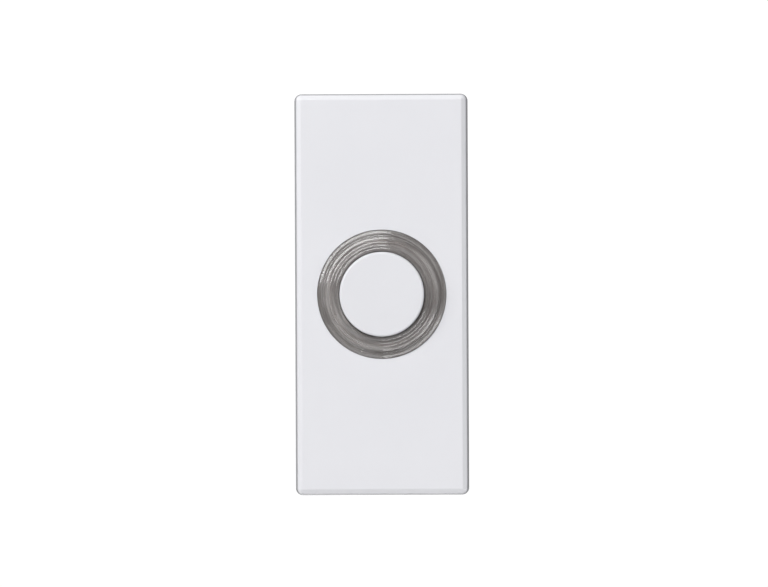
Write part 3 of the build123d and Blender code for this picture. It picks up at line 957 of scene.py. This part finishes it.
@dataclass(frozen=True)
class LightRing:
    """The clear ring, revolved as one closed skin that changes where there is a hook or a slot."""

    section: RingSection
    hooks: tuple[float, ...] = (83.0, 203.0, 323.0)
    hook_span: float = 12.0
    slots: tuple[float, ...] = (250.0, 270.0)
    slot_width: float = 0.5
    notches: tuple[float, ...] = (80.0, 250.0, 270.0)
    notch_width: float = 0.5
    step: float = 1.5
    flank: float = 0.04

    def spans(self, places: Sequence[float], width: float) -> list[tuple[float, float]]:
        """Where a feature begins and ends round the ring.

        Args:
            places: The middles of the features, in degrees from +X.
            width: The width of each, in degrees.

        Returns:
            Start and end angles.
        """
        return [(place - width / 2, place + width / 2) for place in places]

    def columns(self) -> list[tuple[float, float, int, float]]:
        """The angles of the skin's columns, with close ones at each feature's flanks.

        Returns:
            Angle, height of the tube's rear end, the hook's stage, and how deep a notch is there.
        """
        across = math.degrees(1 / self.section.edge)
        hooks = self.spans(self.hooks, self.hook_span)
        slots = self.spans(self.slots, self.slot_width * across)
        edges = [edge for span in hooks + slots for edge in span]
        flanks = [edge + side for edge in edges for side in (-self.flank, self.flank)]
        flanks += [edge for span in hooks for edge in span]
        reach = self.notch_width * across / 2
        flanks += [place + side for place in self.notches for side in (-reach, 0.0, reach)]
        even = [self.step * count for count in range(round(360 / self.step))]
        kept = [angle for angle in even if all(abs(angle - flank) > self.step / 4 for flank in flanks)]
        plain = self.section.top - self.section.tube_drop
        made = []
        for angle in sorted(kept + flanks):
            beside = (angle - self.flank / 2, angle + self.flank / 2)
            hook = sum(any(start < place < end for start, end in hooks) for place in beside)
            slotted = any(start < angle < end for start, end in slots)
            notch = max(1 - abs(angle - place) / reach for place in self.notches)
            made.append((angle, plain + self.section.slot_depth * slotted, hook, max(notch, 0.0)))
        return made

    def build(self, name: str, material: bpy.types.Material) -> bpy.types.Object:
        """Makes the ring's mesh.

        Args:
            name: The piece's name.
            material: Its finish.

        Returns:
            The ring.
        """
        columns = self.columns()
        places = []
        for angle, rear_end, hook, notch in columns:
            turn = math.radians(angle)
            for point in self.section.front(notch) + self.section.rear(rear_end, hook):
                places.append((point.x * math.cos(turn) * MM, -point.y * MM, point.x * math.sin(turn) * MM))
        rows = len(places) // len(columns)
        faces = []
        for column in range(len(columns)):
            beside = (column + 1) % len(columns)
            for row in range(rows):
                above = (row + 1) % rows
                faces.append((
                    column * rows + row,
                    beside * rows + row,
                    beside * rows + above,
                    column * rows + above,
                ))
        mesh = bpy.data.meshes.new(name)
        mesh.from_pydata(places, [], faces)
        mesh.materials.append(material)
        return finished(name, mesh, sharp=20.0)


@dataclass
class PushButton:
    """The clear ring, and the cap and plunger that slide in it."""

    finishes: Finishes
    fit: float = 0.17
    ring_width: float = 4.21
    gates: Studs = Studs(foot=0.27 * MM, top=0.12 * MM, height=0.07 * MM, sink=0.12 * MM, sides=16)
    gate_inset: float = 2.75 * MM

    def build(self) -> None:
        """Makes the ring, and dresses the cap and the plunger."""
        low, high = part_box("light_ring")
        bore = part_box("button_cap")[1].x / MM + self.fit
        section = RingSection(bore=bore, edge=bore + self.ring_width, flange=high.x / MM, top=-low.y / MM)
        ring = LightRing(section).build("clear_light_ring", self.finishes.of("ring_clear"))
        settle(ring, Body.COVER)
        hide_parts("light_ring")
        around = section.edge * MM - self.gate_inset
        places = [
            (around * math.cos(math.radians(angle)), low.y, around * math.sin(math.radians(angle)))
            for angle in LightRing.hooks
        ]
        gates = self.gates.build("ring_gate_marks", self.finishes.of("ring_clear"), places, outward=True)
        settle(gates, Body.COVER)
        self.finishes.dress("cap_white", "button_cap")
        self.finishes.dress("plunger_grey", "button_plunger")


@dataclass
class Switch:
    """The sprung bridge, its contact tips, and the coil spring under it."""

    finishes: Finishes
    wire: float = 0.225 * MM
    turns: float = 3.6

    def build(self) -> None:
        """Dresses the bridge and winds its spring."""
        self.finishes.dress("plunger_grey", "bridge_follower")
        self.finishes.dress("bronze", "contact_bridge")
        self.finishes.dress("silver", "moving_contact_tips", "fixed_contact_tips")
        low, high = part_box("return_spring")
        radius = (high.x - low.x) / 2 - self.wire
        height = high.y - low.y - 2 * self.wire
        coil = Coil("wound_return_spring", radius, height, self.turns, self.wire)
        spring = coil.build(
            self.finishes.of("spring"),
            ((low.x + high.x) / 2, high.y - self.wire, (low.z + high.z) / 2),
            (0, -1, 0),
            steps=48,
            sides=14,
        )
        settle(spring, Body.BASE)
        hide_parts("return_spring")


@dataclass
class Terminals:
    """The two screw terminals: screws, clamp plates and square nuts."""

    finishes: Finishes
    pitch: float = 0.5 * MM
    shank: float = 1.47 * MM
    tooth: float = 0.11 * MM
    head: float = 1.9 * MM

    def build(self) -> None:
        """Dresses the terminals on both sides."""
        for side in ("left", "right"):
            self.finishes.dress("zinc", f"terminal_screw_{side}", f"clamp_plate_{side}")
            self.finishes.dress("brass_turned", f"square_nut_{side}")
            self.thread(side)

    def thread(self, side: str) -> None:
        """Winds the thread round one terminal screw's shank.

        Args:
            side: Which terminal.
        """
        low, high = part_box(f"terminal_screw_{side}")
        middle = (low + high) / 2
        length = high.y - low.y - self.head - 2 * self.tooth
        coil = Coil(f"screw_thread_{side}", self.shank, length, length / self.pitch, self.tooth)
        wound = coil.build(
            self.finishes.of("zinc"), (middle.x, high.y - self.tooth, middle.z), (0, -1, 0), steps=32, sides=6
        )
        settle(wound, Body.BASE)


@dataclass
class Conductors:
    """The brass strips, the lamp's spring contacts and the rivets that join them."""

    finishes: Finishes

    def build(self) -> None:
        """Dresses the strips, contacts and rivets."""
        for side in ("left", "right"):
            self.finishes.dress("tinned", f"contact_strip_{side}")
            self.finishes.dress("bronze", f"lamp_contact_{side}")
        self.finishes.dress("brass_turned", "lamp_rivets")


@dataclass
class Lamp:
    """The wedge-base lamp: glass, a coiled filament on two leads, and the holder."""

    finishes: Finishes
    wire: float = 0.05 * MM
    turns: float = 9.0
    lead: float = 0.13 * MM
    lead_wire: float = 0.117 * MM
    lead_turns: float = 5.0
    lead_sway: float = 0.12

    def build(self) -> None:
        """Dresses the lamp and its holder, and winds the filament between its two leads."""
        self.finishes.dress("glass", "lamp_bulb")
        self.finishes.dress("holder_dark", "lamp_holder")
        low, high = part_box("lamp_filament")
        middle = (low + high) / 2
        span = high.x - low.x - 2 * self.lead
        radius = (high.y - low.y) / 2 - self.wire
        metal = self.finishes.of("tungsten")
        height = high.z - radius - self.wire
        coil = Coil("filament_coil", radius, span, self.turns, self.wire)
        parts = [coil.build(metal, (low.x + self.lead, middle.y, height), (1, 0, 0), steps=20, sides=8)]
        for side, x in (("left", low.x + self.lead), ("right", high.x - self.lead)):
            rise = height + radius - low.z
            lead = Coil(f"lead_{side}", radius * self.lead_sway, rise, self.lead_turns, self.lead_wire)
            parts.append(lead.build(metal, (x, middle.y, low.z), (0, 0, 1), steps=8, sides=12))
        filament = joined("wound_filament", parts)
        settle(filament, Body.BASE)
        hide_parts("lamp_filament")


# ---------------------------------------------------------------- studio


@dataclass(frozen=True)
class SoftLight:
    """An oval soft box aimed at the push: its long side lies level, then turns by the roll."""

    name: str
    place: Point
    length: float
    width: float
    power: float
    roll: float = 0.0

    def build(self, aim: Vector) -> None:
        """Hangs the light.

        Args:
            aim: The point it faces.
        """
        lamp = bpy.data.lights.new(self.name, "AREA")
        lamp.shape = "ELLIPSE"
        lamp.size, lamp.size_y = self.length, self.width
        lamp.energy = self.power
        hung = bpy.data.objects.new(self.name, lamp)
        hung.location = self.place
        hung.rotation_mode = "QUATERNION"
        turn = (Vector(self.place) - aim).to_track_quat("Z", "Y").to_matrix().to_4x4()
        hung.rotation_quaternion = (turn @ Matrix.Rotation(math.radians(self.roll), 4, "Z")).to_quaternion()
        bpy.context.scene.collection.objects.link(hung)


@dataclass
class Studio:
    """Camera, pale floor, white surroundings and soft lights."""

    azimuth: float = 0.0
    elevation: float = -0.2
    roll: float = -0.25
    distance: float = 2.0
    lens: float = 467.0
    clip: tuple[float, float] = (0.05, 60.0)
    aim: Point = (0.00045, -0.0145, 0.00015)
    light_aim: Point = (0.0, -0.01, 0.0)
    floor_drop: float = 0.9
    floor_radius: float = 30.0
    floor_glow: float = 0.76
    shown: float = 1.05
    lit: float = 0.19
    lights: Sequence[SoftLight] = (
        SoftLight("key", (-0.8, -1.08, 0.87), 2.7, 0.5, 23.5, 45.0),
        SoftLight("fill", (0.47, -0.6, -0.47), 1.3, 0.15, 2.3, 45.0),
        SoftLight("front", (-0.1, -1.75, 0.75), 0.6, 0.6, 4.6),
        SoftLight("behind", (-0.1, 1.0, -0.75), 0.6, 0.6, 3.5),
    )

    def camera(self) -> None:
        """Sets up the camera straight in front of the push."""
        a, e = math.radians(self.azimuth), math.radians(self.elevation)
        back = Vector((math.sin(a) * math.cos(e), -math.cos(a) * math.cos(e), math.sin(e)))
        data = bpy.data.cameras.new("camera")
        data.lens = self.lens
        data.clip_start, data.clip_end = self.clip
        eye = bpy.data.objects.new("camera", data)
        eye.location = Vector(self.aim) + back * self.distance
        eye.rotation_mode = "QUATERNION"
        turn = (-back).to_track_quat("-Z", "Y").to_matrix().to_4x4()
        turn = turn @ Matrix.Rotation(math.radians(self.roll), 4, "Z")
        eye.rotation_quaternion = turn.to_quaternion()
        bpy.context.scene.collection.objects.link(eye)
        bpy.context.scene.camera = eye

    def surroundings(self) -> None:
        """Makes the white surroundings, which light the push less than they show."""
        world = bpy.data.worlds.new("surroundings")
        bpy.context.scene.world = world
        world.use_nodes = True
        tree = world.node_tree
        tree.nodes.clear()
        out = tree.nodes.new("ShaderNodeOutputWorld")
        mix = tree.nodes.new("ShaderNodeMixShader")
        seen, lit = tree.nodes.new("ShaderNodeBackground"), tree.nodes.new("ShaderNodeBackground")
        path = tree.nodes.new("ShaderNodeLightPath")
        seen.inputs["Color"].default_value = (1, 1, 1, 1)
        seen.inputs["Strength"].default_value = self.shown
        lit.inputs["Color"].default_value = (0.97, 0.98, 1.0, 1)
        lit.inputs["Strength"].default_value = self.lit
        tree.links.new(path.outputs["Is Camera Ray"], mix.inputs["Fac"])
        tree.links.new(lit.outputs["Background"], mix.inputs[1])
        tree.links.new(seen.outputs["Background"], mix.inputs[2])
        tree.links.new(mix.outputs["Shader"], out.inputs["Surface"])

    def floor(self) -> None:
        """Lays a round pale floor below the push, which shows paler than it lights the push."""
        low = CAD_BOX[0]
        bpy.ops.mesh.primitive_circle_add(
            vertices=128, radius=self.floor_radius, fill_type="NGON", location=(0, 0, low.z - self.floor_drop)
        )
        laid = bpy.context.object
        laid.name = "floor"
        g = Graph("floor_pale")
        mottle = g.noise((0.01, 0.01, 0.01), detail=3.0)
        pale = g.surface(g.tint(mottle, (0.74, 0.74, 0.74), (0.77, 0.77, 0.77)), g.span(mottle, 0.6, 0.7))
        seen = g.node("ShaderNodeLightPath").outputs["Is Camera Ray"]
        shader = g.output.inputs["Surface"].links[0].from_node
        shader.inputs["Emission Color"].default_value = (1, 1, 1, 1)
        g.link(g.span(seen, 0.0, self.floor_glow, 0.0, 1.0), shader.inputs["Emission Strength"])
        laid.data.materials.append(pale)

    def build(self) -> None:
        """Sets up the whole studio."""
        self.camera()
        self.surroundings()
        self.floor()
        for light in self.lights:
            light.build(Vector(self.light_aim))
        bpy.context.scene.view_settings.view_transform = "Standard"
        log.info("studio ready")


def main() -> None:
    """Builds the push and its studio in order."""
    logging.basicConfig(level=logging.INFO, format="%(name)s: %(message)s")
    Studio().build()
    finishes = Finishes()
    for assembly in (
        Housing(finishes),
        PushButton(finishes),
        Switch(finishes),
        Terminals(finishes),
        Conductors(finishes),
        Lamp(finishes),
    ):
        assembly.build()


if __name__ == "__main__":
    main()
